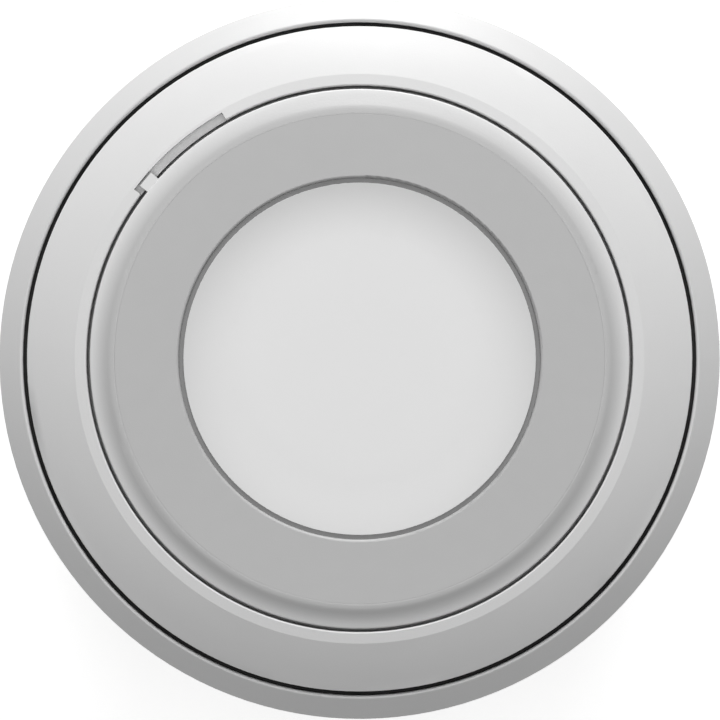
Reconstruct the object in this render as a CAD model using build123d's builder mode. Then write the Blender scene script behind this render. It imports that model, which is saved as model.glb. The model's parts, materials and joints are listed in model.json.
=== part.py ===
from build123d import *
from math import cos, radians, sin, tan
import os

# Flush-mounted heat detector, face up. Millimetres. The axis of the detector is Z, the rear face
# of the back box is at Z = 0 and the ceiling's surface is at Z = ceiling_z. The detector is seen
# from +Z, with the tab of its head in the upper left quarter.

os.makedirs("parts", exist_ok=True)

# ---------------------------------------------------------------- driving dimensions

# heights
ceiling_z = 60.0  # rear face of the box to the ceiling's surface
shelf_thickness = 2.5  # the shelf on which the base hangs on the box
cup_floor_z = 26.0  # underside of the base's cup
cup_floor_thickness = 2.0
head_floor_z = 38.0  # underside of the head's rear cup
head_seat_height = 3.0  # gap between shelf and head, filled by the seal

# the face, from the head's edge inwards
head_radius = 55.9
rim_width = 3.3
rim_slope = 10.0  # at the head's edge
shoulder_width = 1.6
shoulder_slope = 24.0  # where rim and shoulder meet
insert_gap = 0.3  # white land between the shoulder and the grey ring
insert_width = 13.3  # the grey ring
insert_round = 0.6  # rounding of the grey ring's inner edge
insert_thickness = 1.2
ring_window = 0.95  # visible width of the smoked indicator ring
ring_recess = 0.8  # how far the smoked ring lies under the face
collector_recess = 0.4  # edge of the collector under the face
dish_depth = 0.8  # middle of the collector under its edge
dish_flat = 26.0  # radius of the collector's flat middle
collector_thickness = 0.8
edge_round = 0.35

# the face, from the head's edge outwards
head_gap = 0.7
lip_width = 2.4
lip_slope = 7.0
collar_width = 10.1
collar_edge_wall = 1.6  # the collar's wall thins towards its edge
collar_slope_in = 17.5
collar_slope_out = 24.5
trim_gap = 0.9
trim_width = 5.0
trim_slope_in = 28.0
trim_slope_out = 33.0
trim_edge = 0.5  # thickness of the trim ring's outer edge
trim_round = 0.5
collar_round = 0.3

# walls and fits
wall = 2.0
collar_wall = 2.2
running_gap = 0.05  # radial, a shaft in its own bearing
moving_gap = 0.3  # between bodies that move past each other
fixed_gap = 0.1  # between pieces that stay put
thread_gap = 0.02  # radial, a screw in its thread
screw_tip_gap = 1.0  # a screw's tip to the bottom of its hole
small_recess_length = 2.8  # cross recess of the small screws
small_recess_width = 0.6
small_recess_depth = 0.8

# bayonet
cup_radius = 41.5  # inside of the base's cup
bayonet_depth = 4.0  # between the base's cup and the head's cup
bayonet_count = 3
bayonet_angle = 20.0
lug_span = 20.0
lug_thickness = 2.7
lug_top_z = 51.7
lug_gap = 0.5  # lug to the wall of the cup
ledge_thickness = 2.5
ledge_span = 34.0
ledge_gap = 2.0  # degrees from a loose lug to its ledge
twist = 18.0  # clockwise turn from loose to locked
stop_span = 3.0
stop_gap = 0.6  # degrees from a locked lug to its stop

# tab on the head and its window in the collar
tab_angle = 138.2
tab_span = 3.6
tab_reach = 2.0
tab_thickness = 2.0
tab_sink = 0.05  # top of the tab under the rim's edge
window_start = 119.2
window_end = 143.1
window_width = 1.8
window_depth = 2.8

# back box
shelf_overhang = 3.0  # the box's wall stands this far outside the lip
box_floor = 2.5
box_chamfer = 1.2
entry_radius = 10.2
entry_boss_radius = 13.2
entry_length = 7.0
entry_z = 14.0
entry_angles = (180.0, 270.0)
grommet_bore = 4.5
grommet_flange = 1.8
fixing_spacing = 60.0
fixing_radius = 2.6

# screws on the shelf
pan_gap = 0.7  # screw heads to the lip's inner wall
base_screw_count = 3
base_screw_angle = 30.0
base_screw_radius = 1.75
base_screw_depth = 13.0
boss_radius = 4.0
pan_radius = 3.4
pan_height = 2.2
recess_length = 4.4
recess_width = 0.9
recess_depth = 1.2

# ceiling clamps: screw, nut and swinging dog
clamp_count = 3
clamp_angle = 90.0
clamp_screw_radius = 2.0
clamp_tip_inset = 0.5  # a clamp screw's tip to the underside of its pocket
nut_radius = 3.1
nut_flange_radius = 3.9
nut_flange_thickness = 1.0
dog_hub_radius = 4.2
dog_length = 20.0
dog_thickness = 8.0
dog_rest_z = 21.5
dog_corner = 1.5
dog_teeth = 3
tooth_pitch = 2.6
tooth_height = 0.9
tooth_start = 2.5  # tip of the dog to the middle of its first tooth
tooth_inset = 1.0  # ends of a tooth to the sides of the dog
tooth_taper = 25.0
pocket_floor_z = 18.0
pocket_side_gap = 1.0
pocket_end_gap = 1.5

# gasket between collar, trim ring and ceiling
gasket_thickness = 0.8
gasket_inset = 1.5  # gasket's edge to the trim ring's edge
gasket_foot = 1.6  # how far the gasket reaches under the collar
bead_height = 1.5  # the bead that grips the trim ring
bead_gap = 0.08

# terminals and contacts in the base
contact_count = 4
contact_angle = 45.0
contact_inset = 8.5  # contacts to the wall of the head's cup
blade_span = 8.0
blade_thickness = 0.8
blade_drop = 4.0  # how far the blades stand out of the head's floor
blade_rise = 4.0  # and how far they stand inside
blade_slot_gap = 0.3  # degrees at each end of a blade
terminal_size = 12.0
terminal_height = 9.0
terminal_chamfer = 0.6
terminal_offset = 38.0  # degrees from a blade at rest, clockwise
leaf_thickness = 0.2
leaf_gap = 0.15
leaf_start = 13.0  # degrees from a blade at rest, clockwise
leaf_span = 15.0
leaf_web = 1.0  # thickness of the web under a pair of leaves
leaf_headroom = 1.0  # spare height over the leaves, past the moving gap
leaf_slot_lead = 0.4  # degrees from the end of a leaf to the end of its slot
cage_size = 5.0
cage_rise = 1.5  # the cup's floor to the cage
cage_inset = 0.5  # the cage's mouth to the face of its block
cage_hole_radius = 1.7
terminal_screw_radius = 1.5
terminal_screw_lift = 0.4  # the screw's tip over the middle of the cage
terminal_screw_sink = 0.2  # the screw's top under the top of its block
cable_hole_radius = 10.0

# seal between shelf and head
seal_inset = 1.7  # edge of the shelf to the seal
seal_width = 3.6
seal_round = 0.8

# inside the head
collector_seat = 3.45  # the collector rests this far in from its edge
plate_thickness = 2.3
head_screw_count = 3
head_screw_inset = 3.0  # from the rear cover's edge
head_screw_radius = 1.3
head_screw_head = 2.4
head_screw_depth = 1.2
head_screw_angle = 60.0
head_screw_bite = 1.0  # how far the screws' holes go into the front cover's plate
head_screw_spare = 0.2  # a screw's tip to the bottom of its hole
board_z = 52.0
board_thickness = 1.6
board_gap = 1.0  # board to the wall of the head's cup
post_count = 3
post_inset = 6.5  # from the wall of the head's cup
post_radius = 3.0
post_angle = 60.0
board_screw_radius = 1.2
board_screw_head = 2.2
board_screw_head_height = 1.4
board_screw_depth = 6.0
led_angle = 0.0
led_inset = 4.0  # from the board's edge
led_size = 2.4
led_height = 1.2
guide_radius = 1.2
guide_gap = 0.2
guide_flange = 2.0  # how far the smoked ring's flange passes the light guide inwards
flange_thickness = 0.4
carrier_radius = 5.0
carrier_bore = 3.2
carrier_band = 4.0  # height of the carrier's closed top
carrier_gap = 0.2  # top of the carrier to the thermistor
carrier_foot = 1.5  # how far the foot stands out
carrier_foot_thickness = 1.0
bead_radius = 1.0
pad_radius = 4.0
pad_thickness = 0.5
lead_radius = 0.3
lead_spacing = 1.2
reference_y = -18.0
reference_length = 2.0
reference_width = 1.2
reference_height = 0.6
chip_place = (-14.0, 10.0)
chip_size = 7.0
chip_height = 1.2
chip_chamfer = 0.2
capacitor_x = 12.0
capacitor_spacing = 28.0
capacitor_radius = 3.0
capacitor_height = 7.0
capacitor_round = 0.5
dial_pitch = 12.0
dial_count = 3
dial_radius = 3.0
dial_height = 2.0
dial_sink = 0.2  # face of the dial inside the rear cover's face
dial_shaft_radius = 1.5
dial_shaft_length = 5.0
dial_body_size = 9.0
dial_body_gap = 0.4  # over the rear cover's floor
dial_slot_width = 0.8
dial_slot_length = 4.4
dial_slot_depth = 0.8
dial_arrow_radius = 0.9
dial_arrow_offset = 1.6

# ---------------------------------------------------------------- sizes that follow

rim_drop = rim_width * tan(radians((rim_slope + shoulder_slope) / 2))
shoulder_drop = shoulder_width * tan(radians(shoulder_slope / 2))
lip_drop = lip_width * tan(radians(lip_slope))
collar_drop = collar_width * tan(radians((collar_slope_in + collar_slope_out) / 2))
trim_drop = trim_width * tan(radians((trim_slope_in + trim_slope_out) / 2))

lip_radius = head_radius + head_gap
lip_outer_radius = lip_radius + lip_width
collar_radius = lip_outer_radius + collar_width
trim_inner_radius = collar_radius + trim_gap
trim_radius = trim_inner_radius + trim_width

trim_top_z = ceiling_z + trim_edge + trim_drop
collar_edge_z = trim_top_z + trim_gap * tan(radians(collar_slope_out))
lip_outer_z = collar_edge_z + collar_drop
lip_z = lip_outer_z + lip_drop
rim_z = lip_z
face_z = rim_z + rim_drop + shoulder_drop

insert_radius = head_radius - rim_width - shoulder_width - insert_gap
ring_radius = insert_radius - insert_width
collector_radius = ring_radius - ring_window
insert_seat_z = face_z - insert_thickness
collector_edge_z = face_z - collector_recess
collector_middle_z = collector_edge_z - dish_depth
flange_z = collector_middle_z - collector_thickness - fixed_gap
ring_seat_z = flange_z - flange_thickness
plate_z = insert_seat_z - plate_thickness

opening_radius = collector_radius - collector_seat

shelf_z = ceiling_z
box_top_z = shelf_z - shelf_thickness
cup_top_z = cup_floor_z + cup_floor_thickness
cup_outer_radius = cup_radius + wall
box_radius = lip_outer_radius + shelf_overhang
box_inner_radius = box_radius - wall
screw_circle = lip_radius - pan_radius - pan_gap
head_seat_z = shelf_z + head_seat_height
back_plate_z = head_seat_z + wall
back_plate_radius = head_radius - wall - fixed_gap
head_screw_circle = back_plate_radius - head_screw_inset
head_cup_radius = cup_radius - bayonet_depth
head_cup_inner = head_cup_radius - wall
contact_circle = head_cup_inner - contact_inset
post_circle = head_cup_inner - post_inset
seal_inner_radius = cup_radius + seal_inset
lug_radius = cup_radius - lug_gap
ledge_radius = head_cup_radius + 2 * moving_gap
ledge_z = lug_top_z + moving_gap
board_radius = head_cup_inner - board_gap
led_circle = board_radius - led_inset
board_top_z = board_z + board_thickness
bayonet_angles = [bayonet_angle + i * 360 / bayonet_count for i in range(bayonet_count)]

pocket_depth = screw_circle - dog_hub_radius - pocket_side_gap
pocket_low = -dog_hub_radius - pocket_side_gap
pocket_high = dog_length + pocket_end_gap
pocket_length = pocket_high - pocket_low
pocket_roof_z = box_top_z - wall
clamp_angles = [clamp_angle + i * 360 / clamp_count for i in range(clamp_count)]


def polar(radius, angle):
    """The point at a radius and an angle in degrees."""
    return (radius * cos(radians(angle)), radius * sin(radians(angle)))


def ring_sector(inner, outer, start, span):
    """A flat piece of ring that runs anticlockwise from the start angle."""
    end = start + span
    with BuildSketch() as piece:
        with BuildLine():
            CenterArc((0, 0), outer, start, span)
            Line(polar(outer, end), polar(inner, end))
            CenterArc((0, 0), inner, start, span)
            Line(polar(inner, start), polar(outer, start))
        make_face()
    return piece.sketch


def spoke_plane(radius, angle, height):
    """A level plane with its X outwards and its Y anticlockwise round the detector."""
    x, y = polar(radius, angle)
    return Plane(origin=(x, y, height), x_dir=(*polar(1, angle), 0), z_dir=(0, 0, 1))


def entry_plane(angle, distance):
    """A plane across a cable entry, facing outwards."""
    x, y = polar(distance, angle)
    return Plane(origin=(x, y, entry_z), x_dir=(0, 0, 1), z_dir=(*polar(1, angle), 0))


def top_circle(piece, radius):
    """The highest round edge of a piece at a radius."""
    circles = piece.edges().filter_by(GeomType.CIRCLE)
    return circles.filter_by(lambda edge: abs(edge.radius - radius) < thread_gap).sort_by(Axis.Z)[-1]


def keep(piece, label):
    """Name a finished piece and write it."""
    piece.part.label = label
    export_step(piece.part, f"parts/{label}.step")


# ---------------------------------------------------------------- back box

entry_start = box_radius + wall - entry_length

with BuildPart() as back_box:
    with BuildSketch():
        Circle(box_radius)
    extrude(amount=box_floor)
    chamfer(back_box.faces().sort_by(Axis.Z)[0].edges(), length=box_chamfer)
    with BuildSketch(Plane.XY.offset(box_floor)):
        Circle(box_radius)
        Circle(box_inner_radius, mode=Mode.SUBTRACT)
    extrude(amount=box_top_z - box_floor)
    # walls round the clamp pockets
    with BuildSketch(Plane.XY.offset(pocket_floor_z)):
        with PolarLocations(pocket_depth - wall, clamp_count, clamp_angle):
            with Locations((0, pocket_low - wall)):
                Rectangle(box_radius, pocket_length + 2 * wall, align=(Align.MIN, Align.MIN))
        Circle(box_radius - wall / 2, mode=Mode.INTERSECT)
    extrude(amount=box_top_z - pocket_floor_z)
    # bosses for the base's screws, each on a rib to the wall
    with BuildSketch(Plane.XY.offset(box_top_z - base_screw_depth - wall)):
        with PolarLocations(screw_circle, base_screw_count, base_screw_angle):
            Circle(boss_radius)
            Rectangle(box_radius - wall / 2 - screw_circle, wall, align=(Align.MIN, Align.CENTER))
    extrude(amount=base_screw_depth + wall)
    # bosses round the cable entries
    for angle in entry_angles:
        with BuildSketch(entry_plane(angle, entry_start)):
            Circle(entry_boss_radius)
        extrude(amount=entry_length)
    # the pockets, open outwards
    with BuildSketch(Plane.XY.offset(pocket_floor_z + wall)):
        with PolarLocations(pocket_depth, clamp_count, clamp_angle):
            with Locations((0, pocket_low)):
                Rectangle(box_radius, pocket_length, align=(Align.MIN, Align.MIN))
    extrude(amount=pocket_roof_z - pocket_floor_z - wall, mode=Mode.SUBTRACT)
    # holes
    for angle in entry_angles:
        with BuildSketch(entry_plane(angle, entry_start - wall)):
            Circle(entry_radius)
        extrude(amount=entry_length + 2 * wall, mode=Mode.SUBTRACT)
    with BuildSketch():
        with GridLocations(fixing_spacing, fixing_spacing, 2, 2):
            Circle(fixing_radius)
    extrude(amount=box_floor, mode=Mode.SUBTRACT)
    with BuildSketch(Plane.XY.offset(box_top_z - base_screw_depth)):
        with PolarLocations(screw_circle, base_screw_count, base_screw_angle):
            Circle(base_screw_radius + thread_gap)
    extrude(amount=base_screw_depth, mode=Mode.SUBTRACT)
    with BuildSketch(Plane.XY.offset(pocket_floor_z)):
        with PolarLocations(screw_circle, clamp_count, clamp_angle):
            Circle(clamp_screw_radius + fixed_gap)
    extrude(amount=box_top_z - pocket_floor_z, mode=Mode.SUBTRACT)
keep(back_box, "back_box")

# a rubber grommet fills the first entry
with BuildPart() as cable_grommet:
    with BuildSketch(entry_plane(entry_angles[0], entry_start - grommet_flange)):
        Circle(entry_radius - fixed_gap)
    extrude(amount=entry_length + grommet_flange)
    with BuildSketch(entry_plane(entry_angles[0], box_radius + wall)):
        Circle(entry_boss_radius - wall / 2)
    extrude(amount=grommet_flange)
    fillet(cable_grommet.edges().group_by(Axis.X)[0], radius=grommet_flange / 2)
    with BuildSketch(entry_plane(entry_angles[0], entry_start - grommet_flange)):
        Circle(grommet_bore)
    extrude(amount=entry_length + 2 * grommet_flange, mode=Mode.SUBTRACT)
keep(cable_grommet, "cable_grommet")

# ---------------------------------------------------------------- base

channel_outer = collar_radius - collar_wall
channel_top_z = lip_outer_z - collar_wall - shelf_overhang * tan(radians(collar_slope_in))
channel_edge_z = collar_edge_z - collar_edge_wall

with BuildPart() as mounting_base:
    with BuildSketch(Plane.XZ):
        with BuildLine():
            Polyline(
                (lip_outer_radius, lip_outer_z),
                (lip_radius, lip_z),
                (lip_radius, shelf_z),
                (cup_radius, shelf_z),
                (cup_radius, cup_top_z),
                (cable_hole_radius, cup_top_z),
                (cable_hole_radius, cup_floor_z),
                (cup_outer_radius, cup_floor_z),
                (cup_outer_radius, box_top_z),
                (box_radius, box_top_z),
                (box_radius, channel_top_z),
                (channel_outer, channel_edge_z),
                (channel_outer, ceiling_z),
                (collar_radius, ceiling_z),
                (collar_radius, collar_edge_z),
            )
            TangentArc(
                (lip_outer_radius, lip_outer_z),
                (collar_radius, collar_edge_z),
                tangent=(cos(radians(collar_slope_in)), -sin(radians(collar_slope_in))),
            )
        make_face()
    revolve(axis=Axis.Z)
    # ledges over the head's lugs, and the stop that ends the turn
    with BuildSketch(Plane.XY.offset(ledge_z)):
        for angle in bayonet_angles:
            ledge = angle - lug_span / 2 - ledge_gap - ledge_span
            add(ring_sector(ledge_radius, cup_radius + wall / 2, ledge, ledge_span))
    extrude(amount=ledge_thickness)
    with BuildSketch(Plane.XY.offset(lug_top_z - lug_thickness)):
        for angle in bayonet_angles:
            stop = angle - lug_span / 2 - twist - stop_gap - stop_span
            add(ring_sector(ledge_radius, cup_radius + wall / 2, stop, stop_span))
    extrude(amount=ledge_z + ledge_thickness - lug_top_z + lug_thickness)
    collar_edge = top_circle(mounting_base, collar_radius)
    lip_edge = top_circle(mounting_base, lip_radius)
    fillet((collar_edge, lip_edge), radius=collar_round)
    # window for the head's tab
    with BuildSketch(Plane.XY.offset(lip_z - window_depth)):
        add(ring_sector(head_radius, lip_radius + window_width, window_start, window_end - window_start))
    extrude(amount=window_depth, mode=Mode.SUBTRACT)
    # holes for the two sets of screws
    with BuildSketch(Plane.XY.offset(box_top_z)):
        with PolarLocations(screw_circle, clamp_count, clamp_angle):
            Circle(clamp_screw_radius + fixed_gap)
        with PolarLocations(screw_circle, base_screw_count, base_screw_angle):
            Circle(base_screw_radius + fixed_gap)
    extrude(amount=shelf_thickness, mode=Mode.SUBTRACT)
keep(mounting_base, "mounting_base")


def shelf_screws(count, angle, radius, tip_z):
    """Pan-head screws through the shelf, as one group."""
    with BuildPart() as screws:
        with BuildSketch(Plane.XY.offset(tip_z)):
            with PolarLocations(screw_circle, count, angle):
                Circle(radius)
        extrude(amount=shelf_z - tip_z)
        with BuildSketch(Plane.XY.offset(shelf_z)):
            with PolarLocations(screw_circle, count, angle):
                Circle(pan_radius)
        extrude(amount=pan_height)
        fillet(screws.edges().group_by(Axis.Z)[-1], radius=pan_height / 3)
        with BuildSketch(Plane.XY.offset(shelf_z + pan_height - recess_depth)):
            with PolarLocations(screw_circle, count, angle):
                Rectangle(recess_length, recess_width)
                Rectangle(recess_width, recess_length)
        extrude(amount=recess_depth, mode=Mode.SUBTRACT)
    return screws


base_tip_z = box_top_z - base_screw_depth + screw_tip_gap
base_screws = shelf_screws(base_screw_count, base_screw_angle, base_screw_radius, base_tip_z)
keep(base_screws, "base_screws")

clamp_tip_z = pocket_floor_z + clamp_tip_inset
clamp_screws = shelf_screws(clamp_count, clamp_angle, clamp_screw_radius, clamp_tip_z)
keep(clamp_screws, "clamp_screws")

# ---------------------------------------------------------------- ceiling clamps

nut_z = dog_rest_z - nut_flange_thickness

for number, angle in enumerate(clamp_angles, start=1):
    with BuildPart() as clamp_nut:
        with BuildSketch(spoke_plane(screw_circle, angle, nut_z)):
            Circle(nut_flange_radius)
        extrude(amount=nut_flange_thickness)
        with BuildSketch(spoke_plane(screw_circle, angle, dog_rest_z)):
            Circle(nut_radius)
        extrude(amount=dog_thickness)
        with BuildSketch(spoke_plane(screw_circle, angle, nut_z)):
            Circle(clamp_screw_radius + running_gap)
        extrude(amount=nut_flange_thickness + dog_thickness, mode=Mode.SUBTRACT)
    keep(clamp_nut, f"clamp_nut_{number}")

    with BuildPart() as clamp_dog:
        with BuildSketch(spoke_plane(screw_circle, angle, dog_rest_z)):
            Circle(dog_hub_radius)
            Rectangle(2 * dog_hub_radius, dog_length, align=(Align.CENTER, Align.MIN))
        extrude(amount=dog_thickness)
        hub = spoke_plane(screw_circle, angle, 0).origin
        fillet(clamp_dog.edges().filter_by(Axis.Z).sort_by_distance(hub)[-2:], radius=dog_corner)
        # teeth that bite the back of the ceiling board
        for tooth in range(dog_teeth):
            tooth_y = dog_length - tooth_start - tooth * tooth_pitch
            with BuildSketch(spoke_plane(screw_circle, angle, dog_rest_z + dog_thickness)):
                with Locations((0, tooth_y)):
                    Rectangle(2 * (dog_hub_radius - tooth_inset), tooth_pitch / 2)
            extrude(amount=tooth_height, taper=tooth_taper)
        with BuildSketch(spoke_plane(screw_circle, angle, dog_rest_z)):
            Circle(nut_radius + running_gap)
        extrude(amount=dog_thickness, mode=Mode.SUBTRACT)
    keep(clamp_dog, f"clamp_dog_{number}")

# ---------------------------------------------------------------- trim ring

with BuildPart() as trim_ring:
    with BuildSketch(Plane.XZ):
        with BuildLine():
            Polyline(
                (trim_inner_radius, trim_top_z),
                (trim_inner_radius, ceiling_z),
                (trim_radius, ceiling_z),
                (trim_radius, ceiling_z + trim_edge),
            )
            TangentArc(
                (trim_inner_radius, trim_top_z),
                (trim_radius, ceiling_z + trim_edge),
                tangent=(cos(radians(trim_slope_in)), -sin(radians(trim_slope_in))),
            )
        make_face()
    revolve(axis=Axis.Z)
    fillet(trim_ring.edges().group_by(Axis.Z)[-1], radius=trim_round)
keep(trim_ring, "trim_ring")

gasket_inner = collar_radius - gasket_foot
gasket_outer = trim_radius - gasket_inset

with BuildPart() as ceiling_gasket:
    with BuildSketch(Plane.XY.offset(ceiling_z - gasket_thickness)):
        Circle(gasket_outer)
        Circle(gasket_inner, mode=Mode.SUBTRACT)
    extrude(amount=gasket_thickness)
    with BuildSketch(Plane.XY.offset(ceiling_z)):
        Circle(trim_inner_radius - bead_gap)
        Circle(collar_radius + thread_gap, mode=Mode.SUBTRACT)
    extrude(amount=bead_height)
keep(ceiling_gasket, "ceiling_gasket")

# ---------------------------------------------------------------- terminals and contacts

blade_angles = [contact_angle + i * 360 / contact_count for i in range(contact_count)]
terminal_angles = [angle - terminal_offset for angle in blade_angles]
leaf_start_angles = [angle - leaf_start - leaf_span for angle in blade_angles]
terminal_top_z = cup_top_z + terminal_height
cage_z = cup_top_z + cage_rise
cage_middle_z = cage_z + cage_size / 2
leaf_low_z = cup_top_z + leaf_web
leaf_high_z = head_floor_z - moving_gap - leaf_headroom
slot_half = blade_thickness / 2 + leaf_gap
leaf_inner = contact_circle - slot_half - leaf_thickness
leaf_outer = contact_circle + slot_half + leaf_thickness

with BuildPart() as terminal_blocks:
    for angle in terminal_angles:
        with BuildSketch(spoke_plane(contact_circle, angle, cup_top_z)):
            Rectangle(terminal_size, terminal_size)
        extrude(amount=terminal_height)
    chamfer(terminal_blocks.faces().group_by(Axis.Z)[-1].edges(), length=terminal_chamfer)
    for angle in terminal_angles:
        with BuildSketch(spoke_plane(contact_circle - terminal_size / 2, angle, cage_z)):
            Rectangle(terminal_size - wall, cage_size, align=(Align.MIN, Align.CENTER))
        extrude(amount=cage_size, mode=Mode.SUBTRACT)
        with BuildSketch(spoke_plane(contact_circle, angle, cage_z)):
            Circle(terminal_screw_radius + fixed_gap)
        extrude(amount=terminal_height, mode=Mode.SUBTRACT)
    # slots for the tails of the contact springs
    with BuildSketch(Plane.XY.offset(cup_top_z)):
        for start in leaf_start_angles:
            slot = start - leaf_slot_lead
            add(ring_sector(leaf_inner - fixed_gap, leaf_outer + fixed_gap, slot, leaf_span))
    extrude(amount=leaf_high_z + fixed_gap - cup_top_z, mode=Mode.SUBTRACT)
keep(terminal_blocks, "terminal_blocks")

cage_outer = cage_size - 2 * fixed_gap
cage_length = terminal_size - wall - cage_inset

with BuildPart() as terminal_cages:
    for angle in terminal_angles:
        with BuildSketch(spoke_plane(contact_circle - terminal_size / 2 + cage_inset, angle, cage_z)):
            Rectangle(cage_length, cage_outer, align=(Align.MIN, Align.CENTER))
        extrude(amount=cage_outer)
    for angle in terminal_angles:
        mouth = spoke_plane(contact_circle - terminal_size / 2, angle, cage_middle_z - fixed_gap)
        with BuildSketch(Plane(origin=mouth.origin, x_dir=mouth.y_dir, z_dir=mouth.x_dir)):
            Circle(cage_hole_radius)
        extrude(amount=terminal_size - 2 * wall, mode=Mode.SUBTRACT)
        with BuildSketch(spoke_plane(contact_circle, angle, cage_middle_z)):
            Circle(terminal_screw_radius + thread_gap)
        extrude(amount=cage_size, mode=Mode.SUBTRACT)
keep(terminal_cages, "terminal_cages")

terminal_screw_low_z = cage_middle_z + terminal_screw_lift
terminal_screw_top_z = terminal_top_z - terminal_screw_sink

with BuildPart() as terminal_screws:
    for angle in terminal_angles:
        with BuildSketch(spoke_plane(contact_circle, angle, terminal_screw_low_z)):
            Circle(terminal_screw_radius)
        extrude(amount=terminal_screw_top_z - terminal_screw_low_z)
        with BuildSketch(spoke_plane(contact_circle, angle, terminal_screw_top_z - small_recess_depth)):
            Rectangle(2 * terminal_screw_radius, small_recess_width)
        extrude(amount=small_recess_depth, mode=Mode.SUBTRACT)
keep(terminal_screws, "terminal_screws")

with BuildPart() as contact_springs:
    with BuildSketch(Plane.XY.offset(leaf_low_z)):
        for start in leaf_start_angles:
            add(ring_sector(leaf_inner, leaf_inner + leaf_thickness, start, leaf_span))
            add(ring_sector(leaf_outer - leaf_thickness, leaf_outer, start, leaf_span))
    extrude(amount=leaf_high_z - leaf_low_z)
    # the web that joins each pair of leaves under the blade
    with BuildSketch(Plane.XY.offset(cup_top_z)):
        for start in leaf_start_angles:
            add(ring_sector(leaf_inner, leaf_outer, start, leaf_span))
    extrude(amount=leaf_low_z - cup_top_z)
keep(contact_springs, "contact_springs")

# ---------------------------------------------------------------- seal

with BuildPart() as head_seal:
    with BuildSketch(Plane.XY.offset(shelf_z)):
        Circle(seal_inner_radius + seal_width)
        Circle(seal_inner_radius, mode=Mode.SUBTRACT)
    extrude(amount=head_seat_height)
    fillet(head_seal.edges().group_by(Axis.Z)[-1], radius=seal_round)
    fillet(head_seal.edges().group_by(Axis.Z)[0], radius=seal_round)
keep(head_seal, "head_seal")

# ---------------------------------------------------------------- head: front

shoulder_radius = head_radius - rim_width
shoulder_z = rim_z + rim_drop

with BuildPart() as head_shell:
    with BuildSketch(Plane.XZ):
        with BuildLine():
            Polyline(
                (head_radius, rim_z),
                (head_radius, head_seat_z),
                (head_radius - wall, head_seat_z),
                (head_radius - wall, plate_z),
                (opening_radius, plate_z),
                (opening_radius, ring_seat_z),
                (ring_radius, ring_seat_z),
                (ring_radius, insert_seat_z),
                (insert_radius, insert_seat_z),
                (insert_radius, face_z),
                (insert_radius + insert_gap, face_z),
            )
            TangentArc((insert_radius + insert_gap, face_z), (shoulder_radius, shoulder_z), tangent=(1, 0))
            TangentArc(
                (shoulder_radius, shoulder_z),
                (head_radius, rim_z),
                tangent=(cos(radians(shoulder_slope)), -sin(radians(shoulder_slope))),
            )
        make_face()
    revolve(axis=Axis.Z)
    fillet(top_circle(head_shell, head_radius), radius=edge_round)
    with BuildSketch(Plane.XY.offset(rim_z - tab_thickness)):
        add(ring_sector(head_radius - wall / 2, head_radius + tab_reach, tab_angle, tab_span))
    extrude(amount=tab_thickness - tab_sink)
    # posts for the screws from the rear cover
    with BuildSketch(Plane.XY.offset(back_plate_z)):
        with PolarLocations(head_screw_circle, head_screw_count, head_screw_angle):
            Circle(head_screw_head)
    extrude(amount=plate_z - back_plate_z)
    with BuildSketch(Plane.XY.offset(back_plate_z)):
        with PolarLocations(head_screw_circle, head_screw_count, head_screw_angle):
            Circle(head_screw_radius + thread_gap)
    extrude(amount=plate_z - back_plate_z + head_screw_bite, mode=Mode.SUBTRACT)
keep(head_shell, "head_shell")

with BuildPart() as face_ring:
    with BuildSketch(Plane.XY.offset(insert_seat_z)):
        Circle(insert_radius)
        Circle(ring_radius, mode=Mode.SUBTRACT)
    extrude(amount=insert_thickness)
    fillet(top_circle(face_ring, ring_radius), radius=insert_round)
keep(face_ring, "face_ring")

with BuildPart() as indicator_ring:
    with BuildSketch(Plane.XY.offset(ring_seat_z)):
        Circle(ring_radius)
        Circle(led_circle - guide_flange, mode=Mode.SUBTRACT)
    extrude(amount=flange_thickness)
    with BuildSketch(Plane.XY.offset(flange_z)):
        Circle(ring_radius)
        Circle(collector_radius, mode=Mode.SUBTRACT)
    extrude(amount=face_z - ring_recess - flange_z)
keep(indicator_ring, "indicator_ring")

with BuildPart() as heat_collector:
    with BuildSketch(Plane.XZ):
        with BuildLine():
            Polyline(
                (dish_flat, collector_middle_z),
                (0, collector_middle_z),
                (0, collector_middle_z - collector_thickness),
                (collector_radius, collector_middle_z - collector_thickness),
                (collector_radius, collector_edge_z),
            )
            TangentArc((dish_flat, collector_middle_z), (collector_radius, collector_edge_z), tangent=(1, 0))
        make_face()
    revolve(axis=Axis.Z)
keep(heat_collector, "heat_collector")

# ---------------------------------------------------------------- head: rear cover

blade_inner = contact_circle - blade_thickness / 2
blade_outer = contact_circle + blade_thickness / 2
blade_slot_span = blade_span + 2 * blade_slot_gap
head_cup_floor_z = head_floor_z + wall

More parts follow.
